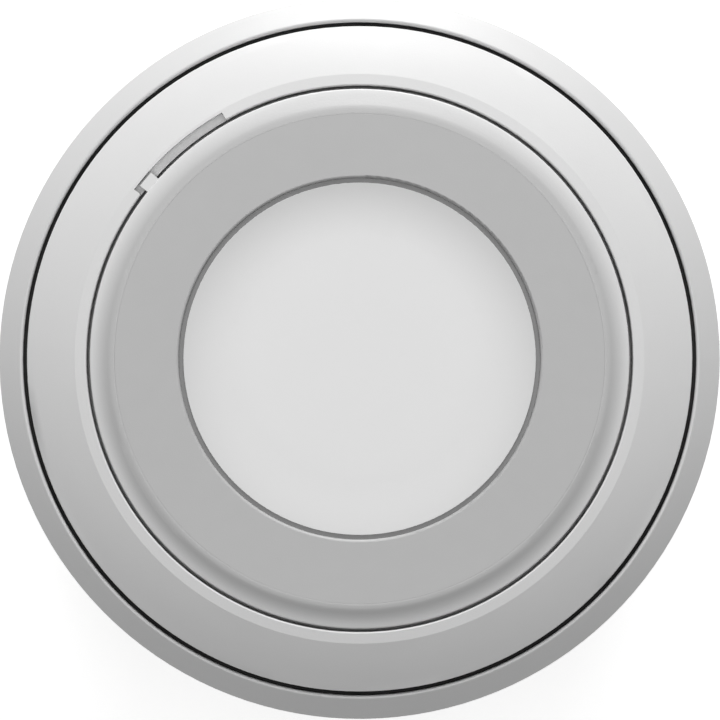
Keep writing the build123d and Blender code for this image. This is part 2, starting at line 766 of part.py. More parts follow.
with BuildPart() as head_back:
    with BuildSketch(Plane.XZ):
        with BuildLine():
            Polyline(
                (0, head_floor_z),
                (head_cup_radius, head_floor_z),
                (head_cup_radius, head_seat_z),
                (back_plate_radius, head_seat_z),
                (back_plate_radius, back_plate_z),
                (head_cup_inner, back_plate_z),
                (head_cup_inner, head_cup_floor_z),
                (0, head_cup_floor_z),
                close=True,
            )
        make_face()
    revolve(axis=Axis.Z)
    with BuildSketch(Plane.XY.offset(lug_top_z - lug_thickness)):
        for angle in bayonet_angles:
            add(ring_sector(head_cup_radius - wall / 2, lug_radius, angle - lug_span / 2, lug_span))
    extrude(amount=lug_thickness)
    with BuildSketch(Plane.XY.offset(head_cup_floor_z)):
        with PolarLocations(post_circle, post_count, post_angle):
            Circle(post_radius)
    extrude(amount=board_z - head_cup_floor_z)
    with BuildSketch(Plane.XY.offset(board_z - board_screw_depth)):
        with PolarLocations(post_circle, post_count, post_angle):
            Circle(board_screw_radius + thread_gap)
    extrude(amount=board_screw_depth, mode=Mode.SUBTRACT)
    # holes for the blades, the dials and the cover's screws
    with BuildSketch(Plane.XY.offset(head_floor_z)):
        for angle in blade_angles:
            slot = angle - blade_slot_span / 2
            add(ring_sector(blade_inner - fixed_gap, blade_outer + fixed_gap, slot, blade_slot_span))
        with GridLocations(dial_pitch, 0, dial_count, 1):
            Circle(dial_radius + moving_gap)
    extrude(amount=wall, mode=Mode.SUBTRACT)
    with BuildSketch(Plane.XY.offset(head_seat_z)):
        with PolarLocations(head_screw_circle, head_screw_count, head_screw_angle):
            Circle(head_screw_radius + fixed_gap)
    extrude(amount=wall, mode=Mode.SUBTRACT)
    with BuildSketch(Plane.XY.offset(head_seat_z)):
        with PolarLocations(head_screw_circle, head_screw_count, head_screw_angle):
            Circle(head_screw_head + fixed_gap)
    extrude(amount=head_screw_depth, mode=Mode.SUBTRACT)
keep(head_back, "head_back")

head_screw_tip_z = plate_z + head_screw_bite - head_screw_spare

with BuildPart() as head_screws:
    with BuildSketch(Plane.XY.offset(head_seat_z)):
        with PolarLocations(head_screw_circle, head_screw_count, head_screw_angle):
            Circle(head_screw_head)
    extrude(amount=head_screw_depth)
    with BuildSketch(Plane.XY.offset(head_seat_z + head_screw_depth)):
        with PolarLocations(head_screw_circle, head_screw_count, head_screw_angle):
            Circle(head_screw_radius)
    extrude(amount=head_screw_tip_z - head_seat_z - head_screw_depth)
    with BuildSketch(Plane.XY.offset(head_seat_z)):
        with PolarLocations(head_screw_circle, head_screw_count, head_screw_angle):
            Rectangle(small_recess_length, small_recess_width)
            Rectangle(small_recess_width, small_recess_length)
    extrude(amount=small_recess_depth, mode=Mode.SUBTRACT)
keep(head_screws, "head_screws")

with BuildPart() as contact_blades:
    with BuildSketch(Plane.XY.offset(head_floor_z - blade_drop)):
        for angle in blade_angles:
            add(ring_sector(blade_inner, blade_outer, angle - blade_span / 2, blade_span))
    extrude(amount=blade_drop + wall + blade_rise)
keep(contact_blades, "contact_blades")

# ---------------------------------------------------------------- head: electronics

with BuildPart() as circuit_board:
    with BuildSketch(Plane.XY.offset(board_z)):
        Circle(board_radius)
        with PolarLocations(post_circle, post_count, post_angle):
            Circle(board_screw_radius + fixed_gap, mode=Mode.SUBTRACT)
    extrude(amount=board_thickness)
keep(circuit_board, "circuit_board")

with BuildPart() as board_screws:
    with BuildSketch(Plane.XY.offset(board_z - board_screw_depth + screw_tip_gap)):
        with PolarLocations(post_circle, post_count, post_angle):
            Circle(board_screw_radius)
    extrude(amount=board_screw_depth + board_thickness - screw_tip_gap)
    with BuildSketch(Plane.XY.offset(board_top_z)):
        with PolarLocations(post_circle, post_count, post_angle):
            Circle(board_screw_head)
    extrude(amount=board_screw_head_height)
    with BuildSketch(Plane.XY.offset(board_top_z + board_screw_head_height - small_recess_depth)):
        with PolarLocations(post_circle, post_count, post_angle):
            Rectangle(small_recess_length, small_recess_width)
            Rectangle(small_recess_width, small_recess_length)
    extrude(amount=small_recess_depth, mode=Mode.SUBTRACT)
keep(board_screws, "board_screws")

pad_z = collector_middle_z - collector_thickness - pad_thickness
bead_z = pad_z - bead_radius
carrier_top_z = bead_z - bead_radius - carrier_gap

with BuildPart() as thermal_pad:
    with BuildSketch(Plane.XY.offset(pad_z)):
        Circle(pad_radius)
    extrude(amount=pad_thickness)
keep(thermal_pad, "thermal_pad")

with BuildPart() as thermistor:
    with Locations((0, 0, bead_z)):
        Sphere(bead_radius)
    with BuildSketch(Plane.XY.offset(board_top_z)):
        with GridLocations(lead_spacing, 0, 2, 1):
            Circle(lead_radius)
    extrude(amount=bead_z - board_top_z)
keep(thermistor, "thermistor")

with BuildPart() as sensor_carrier:
    with BuildSketch(Plane.XY.offset(board_top_z)):
        Circle(carrier_radius)
        Circle(carrier_bore, mode=Mode.SUBTRACT)
    extrude(amount=carrier_top_z - board_top_z)
    with BuildSketch(Plane.XY.offset(board_top_z)):
        Rectangle(2 * carrier_radius, wall)
    extrude(amount=carrier_top_z - board_top_z - carrier_band, mode=Mode.SUBTRACT)
    with BuildSketch(Plane.XY.offset(board_top_z)):
        Circle(carrier_radius + carrier_foot)
        Circle(carrier_bore, mode=Mode.SUBTRACT)
    extrude(amount=carrier_foot_thickness)
keep(sensor_carrier, "sensor_carrier")

with BuildPart() as reference_thermistor:
    with BuildSketch(Plane.XY.offset(board_top_z)):
        with Locations((0, reference_y)):
            Rectangle(reference_length, reference_width)
    extrude(amount=reference_height)
keep(reference_thermistor, "reference_thermistor")

with BuildPart() as indicator_led:
    with BuildSketch(spoke_plane(led_circle, led_angle, board_top_z)):
        Rectangle(led_size, led_size)
    extrude(amount=led_height)
keep(indicator_led, "indicator_led")

with BuildPart() as light_guide:
    with BuildSketch(spoke_plane(led_circle, led_angle, board_top_z + led_height + guide_gap)):
        Circle(guide_radius)
    extrude(amount=ring_seat_z - board_top_z - led_height - guide_gap)
keep(light_guide, "light_guide")

with BuildPart() as microcontroller:
    with BuildSketch(Plane.XY.offset(board_top_z)):
        with Locations(chip_place):
            Rectangle(chip_size, chip_size)
    extrude(amount=chip_height)
    chamfer(microcontroller.faces().sort_by(Axis.Z)[-1].edges(), length=chip_chamfer)
keep(microcontroller, "microcontroller")

with BuildPart() as capacitors:
    with BuildSketch(Plane.XY.offset(board_top_z)):
        with Locations((capacitor_x, capacitor_spacing / 2), (capacitor_x, -capacitor_spacing / 2)):
            Circle(capacitor_radius)
    extrude(amount=capacitor_height)
    fillet(capacitors.faces().group_by(Axis.Z)[-1].edges(), radius=capacitor_round)
keep(capacitors, "capacitors")

# ---------------------------------------------------------------- head: address dials

dial_z = head_floor_z + dial_sink
dial_body_z = head_cup_floor_z + dial_body_gap
dial_places = [(i - (dial_count - 1) / 2) * dial_pitch for i in range(dial_count)]

with BuildPart() as dial_bodies:
    with BuildSketch(Plane.XY.offset(dial_body_z)):
        with GridLocations(dial_pitch, 0, dial_count, 1):
            Rectangle(dial_body_size, dial_body_size)
    extrude(amount=board_z - dial_body_z)
    with BuildSketch(Plane.XY.offset(dial_body_z)):
        with GridLocations(dial_pitch, 0, dial_count, 1):
            Circle(dial_shaft_radius + running_gap)
    extrude(amount=dial_shaft_length, mode=Mode.SUBTRACT)
keep(dial_bodies, "dial_bodies")

for number, place in enumerate(dial_places, start=1):
    with BuildPart() as address_dial:
        with BuildSketch(Plane.XY.offset(dial_z)):
            with Locations((place, 0)):
                Circle(dial_radius)
        extrude(amount=dial_height)
        with BuildSketch(Plane.XY.offset(dial_z + dial_height)):
            with Locations((place, 0)):
                Circle(dial_shaft_radius)
        extrude(amount=dial_shaft_length)
        # screwdriver slot with an arrow end
        with BuildSketch(Plane.XY.offset(dial_z)):
            with Locations((place, 0)):
                Rectangle(dial_slot_width, dial_slot_length)
                with Locations((0, dial_arrow_offset)):
                    RegularPolygon(radius=dial_arrow_radius, side_count=3, rotation=90)
        extrude(amount=dial_slot_depth, mode=Mode.SUBTRACT)
    keep(address_dial, f"address_dial_{number}")

print("overall", 2 * trim_radius, face_z)
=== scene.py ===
import json
import math

import bmesh
import bpy
from mathutils import Matrix, Vector


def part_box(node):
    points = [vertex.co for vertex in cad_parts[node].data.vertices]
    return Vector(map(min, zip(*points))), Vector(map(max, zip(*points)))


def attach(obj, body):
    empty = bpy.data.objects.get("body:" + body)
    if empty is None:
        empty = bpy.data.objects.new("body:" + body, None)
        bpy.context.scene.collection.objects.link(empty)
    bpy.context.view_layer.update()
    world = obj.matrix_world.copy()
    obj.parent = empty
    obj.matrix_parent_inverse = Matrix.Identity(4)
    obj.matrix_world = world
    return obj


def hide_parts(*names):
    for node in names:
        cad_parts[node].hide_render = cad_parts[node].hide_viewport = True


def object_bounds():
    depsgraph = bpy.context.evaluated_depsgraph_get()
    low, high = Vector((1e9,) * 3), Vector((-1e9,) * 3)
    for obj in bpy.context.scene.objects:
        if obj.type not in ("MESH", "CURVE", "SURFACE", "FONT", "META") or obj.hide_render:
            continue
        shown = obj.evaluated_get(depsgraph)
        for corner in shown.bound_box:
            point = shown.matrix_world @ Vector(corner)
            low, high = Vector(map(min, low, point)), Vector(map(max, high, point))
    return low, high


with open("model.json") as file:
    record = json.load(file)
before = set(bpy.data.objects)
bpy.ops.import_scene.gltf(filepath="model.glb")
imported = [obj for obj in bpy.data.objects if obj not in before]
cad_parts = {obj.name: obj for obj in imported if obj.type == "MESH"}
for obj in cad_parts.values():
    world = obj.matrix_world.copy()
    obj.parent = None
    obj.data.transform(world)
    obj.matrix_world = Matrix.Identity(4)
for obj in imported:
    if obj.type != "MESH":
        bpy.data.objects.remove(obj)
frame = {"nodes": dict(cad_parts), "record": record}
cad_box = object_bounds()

# Heat detector, face up, in metres. The CAD nodes keep their shapes and get their finishes here.
# The soft parts (foam seal, ceiling gasket, cable grommet and thermal pad) are built here.

MM = 0.001

# ---------------------------------------------------------------- sizes read from the frame

low, high = cad_box
overall_radius = high.x
face_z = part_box("head_shell")[1].z
head_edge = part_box("head_shell")[1].x
face_ring_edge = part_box("face_ring")[1].x
disc_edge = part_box("heat_collector")[1].x
ceiling_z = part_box("trim_ring")[0].z
grey_until = face_ring_edge + 1.5 * MM  # the front cover is grey out to here
front_z = face_z - 2.3 * MM  # and only above this height


# ---------------------------------------------------------------- materials


def grey(value):
    return (value, value, value)


def shade(tone, factor):
    return tuple(channel * factor for channel in tone)


WHITE = grey(0.80)
# painted shade: the next two whites, for the trim ring and the collar, are darkened copies of the
# head's white plastic
SHADED_TRIM_WHITE = grey(0.69)
SHADED_COLLAR_WHITE = grey(0.765)
DISC_WHITE = grey(0.84)
FACE_GREY = grey(0.525)
BOX_WHITE = (0.66, 0.66, 0.64)
TERMINAL_BLACK = (0.055, 0.062, 0.066)
DIAL_ORANGE = (0.62, 0.2, 0.03)
BEAD_BLACK = (0.03, 0.022, 0.018)
LED_RED = (0.7, 0.12, 0.08)
MASK_DARK = (0.012, 0.085, 0.035)
MASK_LIGHT = (0.016, 0.105, 0.045)
TRACK_GREEN = (0.03, 0.19, 0.075)
PAD_DARK = (0.26, 0.34, 0.42)
PAD_LIGHT = (0.33, 0.42, 0.5)
ZINC = (0.66, 0.67, 0.68)
BRASS = (0.78, 0.56, 0.27)
SPRING_STEEL = (0.72, 0.71, 0.69)
ALUMINIUM = (0.78, 0.79, 0.8)

# the Mix node's sockets for colours
MIX_FIRST = 6
MIX_SECOND = 7
MIX_RESULT = 2

# agreement of the rounded and the true normal: on a worn edge, and on a flat
NORMALS_ON_EDGE = 0.86
NORMALS_ON_FLAT = 0.995


class Nodes:
    """A material with one Principled shader and short calls for the nodes that feed it."""

    def __init__(self, name, roughness, metallic=0.0, specular=0.5):
        self.material = bpy.data.materials.new(name)
        self.material.use_nodes = True
        self.tree = self.material.node_tree
        self.shader = self.tree.nodes["Principled BSDF"]
        self.shader.inputs["Roughness"].default_value = roughness
        self.shader.inputs["Metallic"].default_value = metallic
        self.shader.inputs["Specular IOR Level"].default_value = specular
        self.place = self.node("TexCoord").outputs["Object"]

    def node(self, kind, **settings):
        made = self.tree.nodes.new("ShaderNode" + kind)
        for name, value in settings.items():
            setattr(made, name, value)
        return made

    def link(self, source, target):
        self.tree.links.new(source, target)

    def stretched(self, x, y, z):
        """The object's coordinates, scaled along each axis, for grain that runs one way."""
        made = self.node("Mapping")
        made.inputs["Scale"].default_value = (x, y, z)
        self.link(self.place, made.inputs["Vector"])
        return made.outputs["Vector"]

    def noise(self, scale, detail=3.0, rough=0.6, place=None):
        made = self.node("TexNoise")
        made.inputs["Scale"].default_value = scale
        made.inputs["Detail"].default_value = detail
        made.inputs["Roughness"].default_value = rough
        self.link(place or self.place, made.inputs["Vector"])
        return made.outputs["Fac"]

    def cells(self, scale, feature="F1"):
        made = self.node("TexVoronoi", feature=feature)
        made.inputs["Scale"].default_value = scale
        self.link(self.place, made.inputs["Vector"])
        return made.outputs["Distance"]

    def ramp(self, source, low_tone, high_tone, start=0.3, end=0.7):
        made = self.node("ValToRGB")
        made.color_ramp.elements[0].position = start
        made.color_ramp.elements[1].position = end
        made.color_ramp.elements[0].color = (*low_tone, 1)
        made.color_ramp.elements[1].color = (*high_tone, 1)
        self.link(source, made.inputs["Fac"])
        return made.outputs["Color"]

    def spread(self, source, to_low, to_high, from_low=0.0, from_high=1.0, smooth=False):
        made = self.node("MapRange")
        made.interpolation_type = "SMOOTHSTEP" if smooth else "LINEAR"
        made.inputs["From Min"].default_value = from_low
        made.inputs["From Max"].default_value = from_high
        made.inputs["To Min"].default_value = to_low
        made.inputs["To Max"].default_value = to_high
        self.link(source, made.inputs["Value"])
        return made.outputs["Result"]

    def math(self, operation, first, second):
        made = self.node("Math", operation=operation)
        for slot, value in zip(made.inputs, (first, second)):
            if isinstance(value, (int, float)):
                slot.default_value = value
            else:
                self.link(value, slot)
        return made.outputs["Value"]

    def mix(self, factor, first, second, blend="MIX"):
        """Two colours mixed by a factor; each is a tone or a node's output."""
        made = self.node("Mix", data_type="RGBA", blend_type=blend)
        self.link(factor, made.inputs["Factor"])
        for socket, value in ((MIX_FIRST, first), (MIX_SECOND, second)):
            slot = made.inputs[socket]
            if isinstance(value, tuple):
                slot.default_value = (*value, 1)
            else:
                self.link(value, slot)
        return made.outputs[MIX_RESULT]

    def axis(self, name):
        split = self.node("SeparateXYZ")
        self.link(self.place, split.inputs["Vector"])
        return split.outputs[name]

    def radius(self):
        """Distance from the detector's axis."""
        flat = self.node("VectorMath", operation="MULTIPLY")
        flat.inputs[1].default_value = (1, 1, 0)
        self.link(self.place, flat.inputs[0])
        length = self.node("VectorMath", operation="LENGTH")
        self.link(flat.outputs["Vector"], length.inputs[0])
        return length.outputs["Value"]

    def edges(self, reach):
        """1 on edges and 0 on flats, by how far the rounded normal leaves the true one."""
        rounded = self.node("Bevel", samples=4)
        rounded.inputs["Radius"].default_value = reach
        true = self.node("NewGeometry").outputs["Normal"]
        dot = self.node("VectorMath", operation="DOT_PRODUCT")
        self.link(rounded.outputs["Normal"], dot.inputs[0])
        self.link(true, dot.inputs[1])
        return self.spread(dot.outputs["Value"], 1.0, 0.0, NORMALS_ON_EDGE, NORMALS_ON_FLAT)

    def colour(self, source):
        self.link(source, self.shader.inputs["Base Color"])

    def roughness(self, source):
        self.link(source, self.shader.inputs["Roughness"])

    def bump(self, source, height, strength=1.0, edge=0.12 * MM):
        made = self.node("Bump")
        made.inputs["Strength"].default_value = strength
        made.inputs["Distance"].default_value = height
        self.link(source, made.inputs["Height"])
        if edge:
            rounded = self.node("Bevel", samples=4)
            rounded.inputs["Radius"].default_value = edge
            self.link(rounded.outputs["Normal"], made.inputs["Normal"])
        self.link(made.outputs["Normal"], self.shader.inputs["Normal"])


def moulded(name, tone, rough, grain=0.012 * MM, edge=0.12 * MM, wear=0.0):
    """Moulded plastic: faint flow marks, spark-eroded grain and, on older parts, rubbed edges."""
    made = Nodes(name, rough)
    cloud = made.ramp(made.noise(scale=55, detail=4), shade(tone, 0.982), tone)
    if wear:
        patches = made.spread(made.noise(scale=420, detail=3), to_low=0, to_high=wear)
        rubbed = made.math("MULTIPLY", made.edges(0.35 * MM), patches)
        cloud = made.mix(rubbed, cloud, shade(tone, 1.22))
    made.colour(cloud)
    patina = made.noise(scale=260, detail=2)
    made.roughness(made.spread(patina, to_low=rough - 0.05, to_high=rough + 0.05))
    made.bump(made.noise(scale=3200, detail=2, rough=0.5), grain, edge=edge)
    return made


def head_plastic():
    """The front cover: white at its edge, shading to the face ring's grey at the shoulder."""
    made = moulded("head_plastic", WHITE, 0.4)
    cloud = made.shader.inputs["Base Color"].links[0].from_socket
    reach = made.spread(made.radius(), 1.0, 0.0, grey_until, head_edge - 0.1 * MM)
    outside = made.spread(made.axis("Z"), 0.0, 1.0, front_z - 0.3 * MM, front_z)
    made.colour(made.mix(made.math("MULTIPLY", reach, outside), cloud, FACE_GREY))
    return made.material


def disc_lacquer():
    """Satin lacquer on metal: slight orange peel, and painted shade that darkens the lacquer towards
    the dish's rim.
    """
    made = Nodes("disc_lacquer", 0.36)
    cloud = made.ramp(made.noise(scale=30, detail=3), shade(DISC_WHITE, 0.988), DISC_WHITE)
    # painted shade: the colour darkens in patches towards the disc's rim
    rim_shade_mask = made.spread(made.radius(), 0.0, 1.0, 0.55 * disc_edge, disc_edge)
    rim_shade_mask = made.math("POWER", rim_shade_mask, 2.0)
    patches = made.spread(made.noise(scale=90, detail=4), to_low=0.85, to_high=1.0)
    painted_rim_shade = made.math("MULTIPLY", rim_shade_mask, patches)
    made.colour(made.mix(painted_rim_shade, cloud, shade(DISC_WHITE, 0.84)))
    made.roughness(made.spread(made.noise(scale=700, detail=2), to_low=0.33, to_high=0.41))
    made.bump(made.noise(scale=900, detail=2, rough=0.4), height=0.004 * MM)
    return made.material


def smoked_plastic():
    """Dark translucent-looking plastic with a thin gloss."""
    made = Nodes("smoked_plastic", 0.22)
    made.colour(made.ramp(made.noise(scale=140, detail=3), grey(0.115), grey(0.135)))
    made.roughness(made.spread(made.noise(scale=600, detail=2), to_low=0.18, to_high=0.28))
    made.shader.inputs["Coat Weight"].default_value = 0.25
    made.shader.inputs["Coat Roughness"].default_value = 0.1
    made.bump(made.noise(scale=1500, detail=2), height=0.002 * MM)
    return made.material


def black_rubber():
    """Matt black rubber with a faint grey bloom."""
    made = Nodes("black_rubber", 0.78, specular=0.3)
    bloom = made.ramp(made.noise(scale=160, detail=5), grey(0.012), grey(0.024))
    made.colour(bloom)
    made.roughness(made.spread(made.noise(scale=900, detail=3), to_low=0.7, to_high=0.85))
    made.bump(made.noise(scale=2600, detail=3), height=0.02 * MM)
    return made.material


def seal_foam():
    """Closed-cell foam: small open cells on the cut faces."""
    made = Nodes("seal_foam", 0.9, specular=0.2)
    cells = made.cells(2400)
    # painted shade: each cell is darkest at its centre, where the bump sinks it into a pit
    made.colour(made.ramp(cells, grey(0.022), grey(0.05), start=0.1, end=0.6))
    made.shader.inputs["Sheen Weight"].default_value = 0.15
    made.bump(cells, height=0.09 * MM, edge=0)
    return made.material


def metal(name, tone, rough, brush=(1, 1, 1), tarnish=0.85, scratch=0.006 * MM):
    """Plated or plain metal with tool marks, uneven polish, darker tarnish patches and lighter edges.
    """
    made = Nodes(name, rough, metallic=1.0)
    cloud = made.ramp(made.noise(scale=300, detail=5), shade(tone, tarnish), tone)
    made.colour(made.mix(made.edges(0.15 * MM), cloud, shade(tone, 1.15)))
    marks = made.noise(scale=900, detail=4, rough=0.7, place=made.stretched(*brush))
    made.roughness(made.spread(marks, to_low=rough - 0.1, to_high=rough + 0.12))
    made.bump(marks, scratch, edge=0.06 * MM)
    return made.material


def glass_filled_nylon():
    """Black nylon with the pale fibre streaks of a glass-filled moulding."""
    made = Nodes("glass_filled_nylon", 0.6)
    streaks = made.noise(scale=800, detail=4, rough=0.7, place=made.stretched(1, 5, 1))
    made.colour(made.ramp(streaks, grey(0.018), grey(0.05), start=0.45, end=0.8))
    made.roughness(made.spread(streaks, to_low=0.5, to_high=0.7))
    made.bump(streaks, height=0.015 * MM)
    return made.material


def circuit_laminate():
    """Green solder mask over copper tracks on a 1.27 mm grid, with the laminate's weave."""
    made = Nodes("circuit_laminate", 0.32)
    tracks = made.node("TexBrick", offset=0.35, squash=1.6)
    tracks.inputs["Scale"].default_value = 260
    tracks.inputs["Mortar Size"].default_value = 0.045
    tracks.inputs["Color1"].default_value = (0, 0, 0, 1)
    tracks.inputs["Color2"].default_value = (0, 0, 0, 1)
    tracks.inputs["Mortar"].default_value = (1, 1, 1, 1)
    made.link(made.place, tracks.inputs["Vector"])
    mask = made.ramp(made.noise(scale=120, detail=3), MASK_DARK, MASK_LIGHT)
    made.colour(made.mix(tracks.outputs["Color"], mask, TRACK_GREEN))
    made.roughness(made.spread(made.noise(scale=1100, detail=2), to_low=0.26, to_high=0.38))
    made.bump(tracks.outputs["Color"], height=0.03 * MM)
    return made.material


def epoxy(name, tone, rough, glow=0.0):
    """Cast resin with a smooth, slightly flowing skin."""
    made = Nodes(name, rough)
    made.colour(made.ramp(made.noise(scale=900, detail=3), shade(tone, 0.9), tone))
    patina = made.noise(scale=700, detail=2)
    made.roughness(made.spread(patina, to_low=rough - 0.05, to_high=rough + 0.08))
    made.shader.inputs["Subsurface Weight"].default_value = glow
    made.bump(made.noise(scale=1800, detail=2), height=0.004 * MM, edge=0.06 * MM)
    return made.material


def clear_plastic():
    """The clear acrylic of the light guide."""
    made = Nodes("clear_plastic", 0.12)
    made.colour(made.ramp(made.noise(scale=200, detail=2), grey(0.9), grey(0.96)))
    made.shader.inputs["Transmission Weight"].default_value = 0.85
    made.shader.inputs["IOR"].default_value = 1.49
    made.bump(made.noise(scale=900, detail=2), height=0.003 * MM)
    return made.material


def soft_pad():
    """Blue-grey silicone filled with powder."""
    made = Nodes("soft_pad", 0.7, specular=0.3)
    made.colour(made.ramp(made.noise(scale=1200, detail=4), PAD_DARK, PAD_LIGHT))
    made.roughness(made.spread(made.noise(scale=800, detail=2), to_low=0.6, to_high=0.8))
    made.bump(made.noise(scale=3000, detail=3), height=0.02 * MM)
    return made.material


FINISHES = {
    # painted shade: the white plastic parts get a slightly darkened copy of the head's white
    "white_plastic": moulded("white_plastic", SHADED_COLLAR_WHITE, 0.4).material,
    "grey_plastic": moulded("grey_plastic", FACE_GREY, 0.46).material,
    "smoked_plastic": smoked_plastic(),
    "painted_disc": disc_lacquer(),
    "box_plastic": moulded("box_plastic", BOX_WHITE, 0.52, 0.03 * MM, 0.2 * MM, wear=0.5).material,
    "rubber": black_rubber(),
    "seal_foam": seal_foam(),
    "zinc_steel": metal("zinc_steel", ZINC, 0.3),
    "brass": metal("brass", BRASS, 0.28, brush=(1, 1, 12), tarnish=0.8),
    "spring_metal": metal("spring_metal", SPRING_STEEL, 0.25, brush=(1, 1, 8)),
    "terminal_plastic": moulded("terminal_plastic", TERMINAL_BLACK, 0.5).material,
    "dog_plastic": glass_filled_nylon(),
    "board": circuit_laminate(),
    "black_component": moulded("black_component", grey(0.022), 0.5, 0.01 * MM, 0.06 * MM).material,
    "aluminium_can": metal("aluminium_can", ALUMINIUM, 0.3, brush=(1, 1, 6), tarnish=0.94),
    "clear_plastic": clear_plastic(),
    "led_epoxy": epoxy("led_epoxy", LED_RED, 0.25, glow=0.3),
    "thermal_pad": soft_pad(),
    "bead": epoxy("bead_epoxy", BEAD_BLACK, 0.22),
    "dial_plastic": moulded("dial_plastic", DIAL_ORANGE, 0.42, 0.01 * MM, 0.08 * MM).material,
}

slots = {part["node"]: part["material_slot"] for part in frame["record"]["subparts"]}
for name, node in frame["nodes"].items():
    node.data.materials.clear()
    node.data.materials.append(FINISHES[slots[name]])
frame["nodes"]["head_shell"].data.materials[0] = head_plastic()
# painted shade: the trim ring gets a more darkened copy of the head's white
shaded_trim_plastic = moulded("shaded_trim_plastic", SHADED_TRIM_WHITE, 0.42).material
frame["nodes"]["trim_ring"].data.materials[0] = shaded_trim_plastic

# ---------------------------------------------------------------- mesh tools


SHARP_FROM = math.radians(35)


def piece(name, vertices, faces, slot, body):
    """A mesh object with its finish, shaded smooth up to SHARP_FROM, riding on a CAD body."""
    mesh = bpy.data.meshes.new(name)
    mesh.from_pydata(vertices, [], faces)
    mesh.validate()
    surface = bmesh.new()
    surface.from_mesh(mesh)
    bmesh.ops.recalc_face_normals(surface, faces=surface.faces)
    surface.to_mesh(mesh)
    surface.free()
    for face in mesh.polygons:
        face.use_smooth = True
    mesh.set_sharp_from_angle(angle=SHARP_FROM)
    mesh.materials.append(FINISHES[slot])
    shown = bpy.data.objects.new(name, mesh)
    bpy.context.scene.collection.objects.link(shown)
    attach(shown, body)
    return shown


def add_revolved(vertices, faces, profile, segments, place=None, ripple=None):
    """Turn a closed outline of (radius, height) points round the Z axis."""
    start = len(vertices)
    count = len(profile)
    for step in range(segments):
        turn = math.tau * step / segments
        for index, (radius, height) in enumerate(profile):
            reach = radius + (ripple(index, turn) if ripple else 0.0)
            point = Vector((reach * math.cos(turn), reach * math.sin(turn), height))
            vertices.append(place @ point if place else point)
    for step in range(segments):
        near = start + step * count
        far = start + (step + 1) % segments * count
        for index in range(count):
            after = (index + 1) % count
            faces.append((near + index, far + index, far + after, near + after))


def rounded_box_profile(inner, outer, bottom, top, corner, steps=4):
    """The outline of a ring's section with rounded corners."""
    points = []
    for x, z, start in (
        (outer - corner, bottom + corner, -90),
        (outer - corner, top - corner, 0),
        (inner + corner, top - corner, 90),
        (inner + corner, bottom + corner, 180),
    ):
        for step in range(steps + 1):
            turn = math.radians(start + 90 * step / steps)
            points.append((x + corner * math.cos(turn), z + corner * math.sin(turn)))
    return points


# ---------------------------------------------------------------- soft parts


SEAL_WIDTH = 3.6 * MM
SEAL_CORNER = 0.7 * MM
SEAL_SEGMENTS = 240
SEAL_WAVE = 0.03 * MM


def foam_seal():
    """The foam ring between head and base, with sides that wave a little, never past the CAD ring."""
    low_corner, high_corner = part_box("head_seal")
    outer = high_corner.x
    profile = rounded_box_profile(outer - SEAL_WIDTH, outer, low_corner.z, high_corner.z, SEAL_CORNER)

    def wave(index, turn):
        return -SEAL_WAVE * (1 + math.sin(37 * turn + index) * math.sin(11 * turn))

    vertices, faces = [], []
    add_revolved(vertices, faces, profile, SEAL_SEGMENTS, ripple=wave)
    seal = piece("foam_seal", vertices, faces, "seal_foam", "seal")
    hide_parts("head_seal")


def radii(node, above):
    """The least and greatest radius of a round node's vertices above a height."""
    reaches = [point.co.xy.length for point in frame["nodes"][node].data.vertices if point.co.z > above]
    return min(reaches), max(reaches)


LARGEST_SHARE = 0.45  # a corner is cut back by less than half of its side


def softened(corners, cut):
    """The outline with each corner cut back, so that soft parts have no sharp edges."""
    points = []
    for index, (x, z) in enumerate(corners):
        for other_x, other_z in (corners[index - 1], corners[(index + 1) % len(corners)]):
            length = math.hypot(other_x - x, other_z - z)
            share = min(cut / length, LARGEST_SHARE)
            points.append((x + (other_x - x) * share, z + (other_z - z) * share))
    return points


GASKET_CUT = 0.15 * MM
GASKET_SEGMENTS = 360


def rubber_gasket():
    """The flat gasket behind collar and trim ring, with the bead that fills the gap between them."""
    bottom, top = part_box("ceiling_gasket")[0].z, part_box("ceiling_gasket")[1].z
    inner, outer = radii("ceiling_gasket", bottom - MM)
    bead_inner, bead_outer = radii("ceiling_gasket", ceiling_z + 0.1 * MM)
    corners = [
        (inner, bottom),
        (outer, bottom),
        (outer, ceiling_z),
        (bead_outer, ceiling_z),
        (bead_outer, top),
        (bead_inner, top),
        (bead_inner, ceiling_z),
        (inner, ceiling_z),
    ]
    vertices, faces = [], []
    add_revolved(vertices, faces, softened(corners, GASKET_CUT), GASKET_SEGMENTS)
    gasket = piece("rubber_gasket", vertices, faces, "rubber", "base")
    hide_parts("ceiling_gasket")


PLUG_RADIUS = 10.15 * MM
FLANGE_DEPTH = 1.8 * MM
BORE_RADIUS = 4.5 * MM
GROOVE = 0.35 * MM
GROOVE_PLACES = (0.8, 0.5, 0.2)  # shares of the grommet's length
GROMMET_CUT = 0.3 * MM
GROMMET_SEGMENTS = 120


